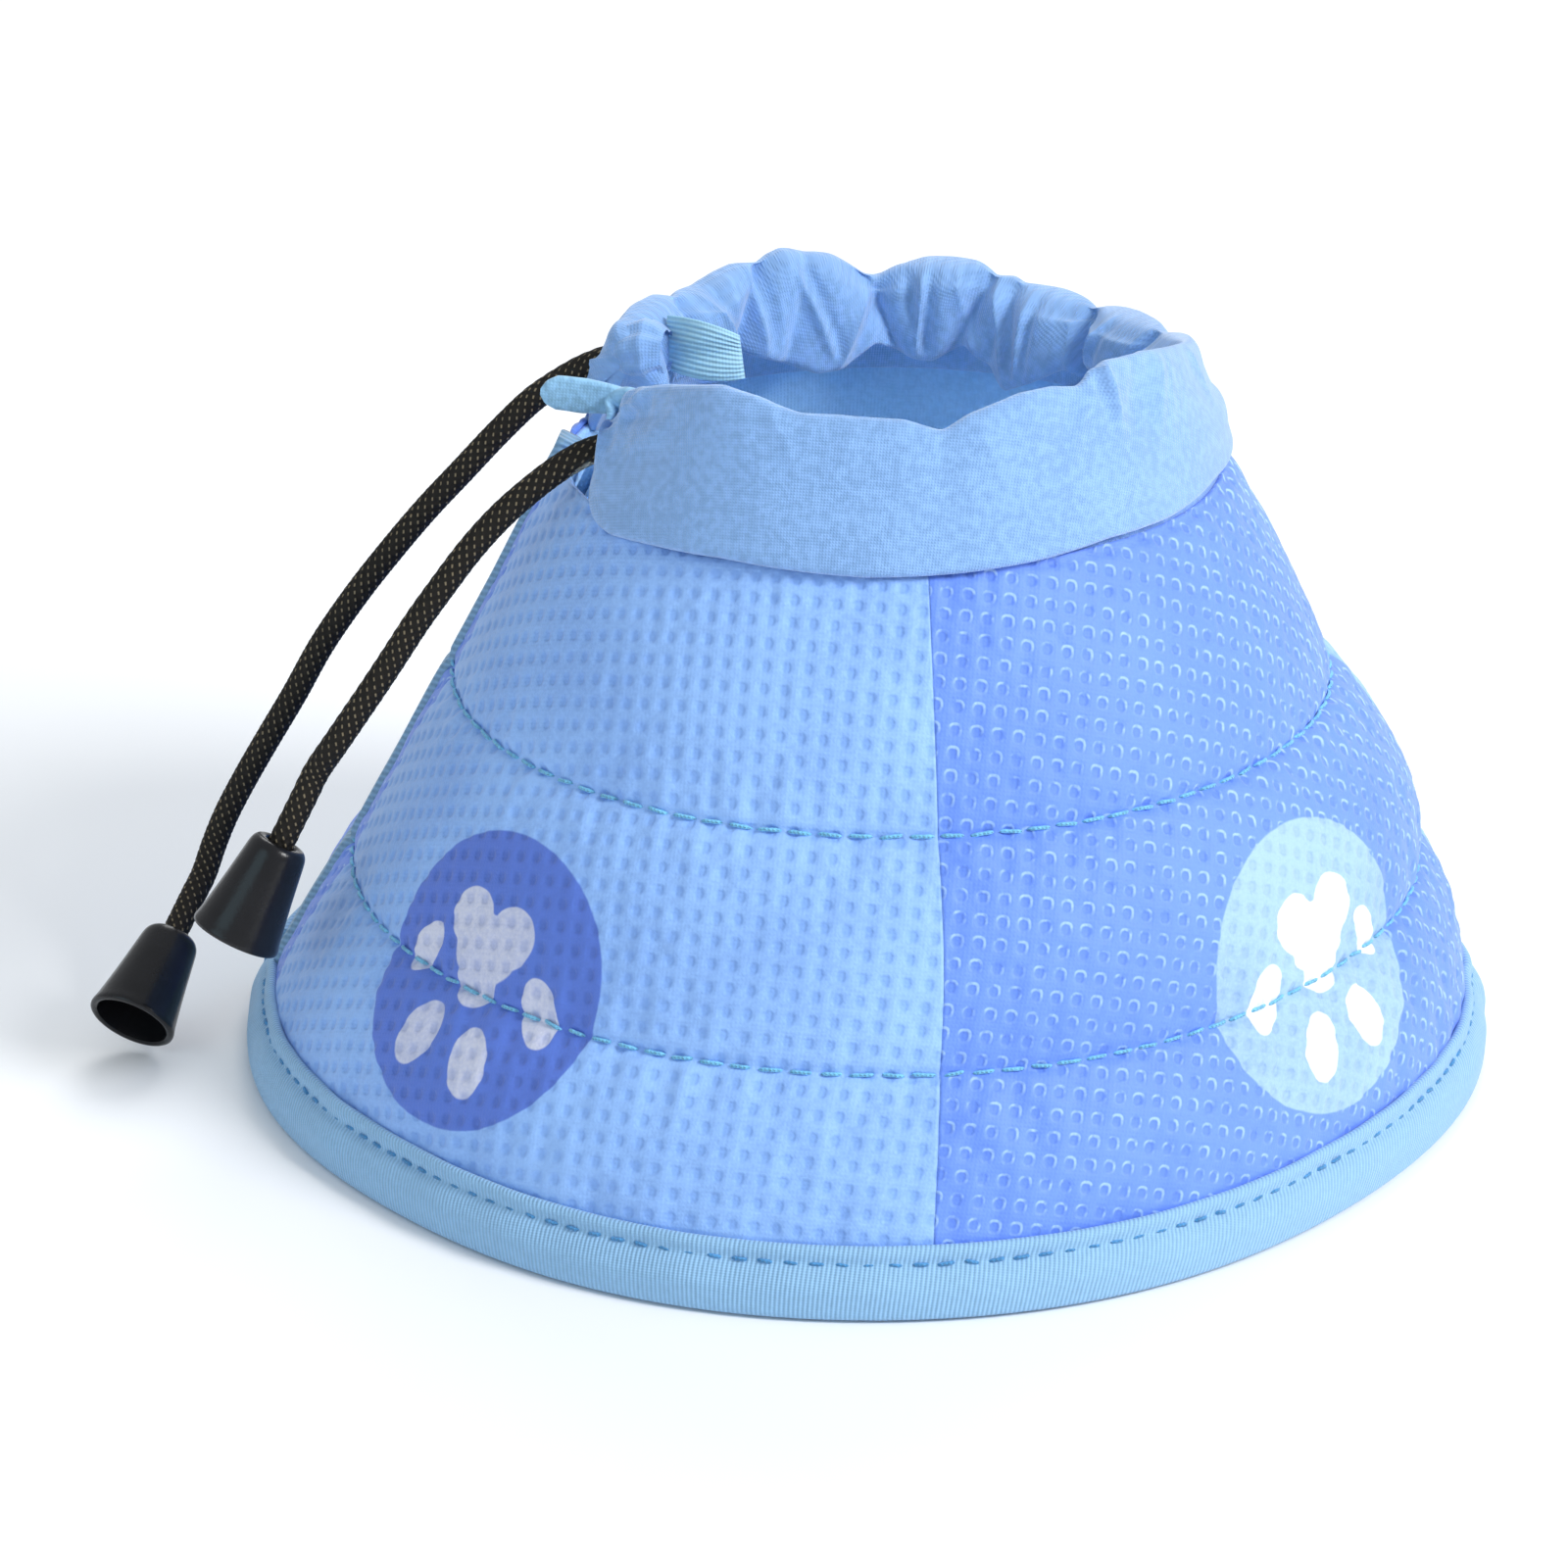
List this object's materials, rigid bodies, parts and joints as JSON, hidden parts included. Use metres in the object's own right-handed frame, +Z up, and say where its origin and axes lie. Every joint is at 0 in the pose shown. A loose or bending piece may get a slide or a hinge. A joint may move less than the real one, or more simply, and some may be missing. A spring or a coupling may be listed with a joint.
{
  "type": "elizabethan collar",
  "caption": "Soft padded recovery cone for a small pet, standing on its rim, with a gathered drawstring neck, quilted channels and an overlapping side opening.",
  "frame": {"origin": "centre of the wide rim, on the plane the cone stands on", "axes": "+Z up along the cone's axis towards the neck; the side opening and the two cord ends are at -X; the printed front faces -Y"},
  "size_m": [0.2179, 0.192, 0.112],
  "materials": {
    "outer_mesh": "embossed polyester air mesh, printed in two blues, matt with a faint sheen",
    "padding_foam": "white open wadding, matt",
    "lining_cloth": "plain woven polyester, satin",
    "sewing_thread": "polyester thread, slight sheen",
    "sleeve_cloth": "plain woven microfibre, matt",
    "hook_tape": "nylon hook tape",
    "loop_tape": "nylon loop tape, fuzzy",
    "edge_tape": "ribbed grosgrain tape, satin",
    "braided_cord": "round braided cord, black with tan flecks",
    "black_plastic": "moulded black plastic, semi-gloss"
  },
  "bodies": {
    "cone": {"outer_cover": "outer_mesh", "lower_padding": "padding_foam", "middle_padding": "padding_foam", "upper_padding": "padding_foam", "lining": "lining_cloth", "underlap_panel": "lining_cloth", "underlap_binding": "edge_tape", "loop_tape": "loop_tape", "rim_binding": "edge_tape", "rim_thread": "sewing_thread", "lower_quilt_thread": "sewing_thread", "upper_quilt_thread": "sewing_thread", "neck_sleeve": "sleeve_cloth", "drawstring": "braided_cord", "neck_end_tape": "edge_tape"},
    "closure_flap": {"outer_cover_flap": "outer_mesh", "lower_padding_flap": "padding_foam", "middle_padding_flap": "padding_foam", "upper_padding_flap": "padding_foam", "lining_flap": "lining_cloth", "rim_binding_flap": "edge_tape", "rim_thread_flap": "sewing_thread", "lower_quilt_thread_flap": "sewing_thread", "upper_quilt_thread_flap": "sewing_thread", "neck_sleeve_flap": "sleeve_cloth", "drawstring_flap": "braided_cord", "flap_edge_binding": "edge_tape", "hook_tape": "hook_tape", "front_tail": "braided_cord", "front_knot": "braided_cord"},
    "front_cord_end": {"front_bell": "black_plastic"},
    "rear_cord": {"rear_tail": "braided_cord", "rear_knot": "braided_cord"},
    "rear_cord_end": {"rear_bell": "black_plastic"}
  },
  "joints": [
    {"name": "closure_fold", "type": "hinge", "parent": "cone", "child": "closure_flap", "pos_m": [-0.07945, -0.05772, 0], "axis": [0.3459, 0.2513, 0.904], "range_deg": [0, 35]},
    {"name": "front_bell_slide", "type": "slide", "parent": "closure_flap", "child": "front_cord_end", "axis": [0.4501, 0.2001, 0.8703], "range_m": [0, 0.012]},
    {"name": "rear_cord_swing", "type": "hinge", "parent": "cone", "child": "rear_cord", "pos_m": [-0.0475, 0.0165, 0.1005], "axis": [0, 0, 1], "range_deg": [-45, 0]},
    {"name": "rear_bell_slide", "type": "slide", "parent": "rear_cord", "child": "rear_cord_end", "axis": [0.3407, 0.7616, 0.5512], "range_m": [0, 0.012]}
  ],
  "couplings": [
    {"joint": "rear_cord_swing", "follows": "closure_fold", "ratio": -1.2}
  ]
}
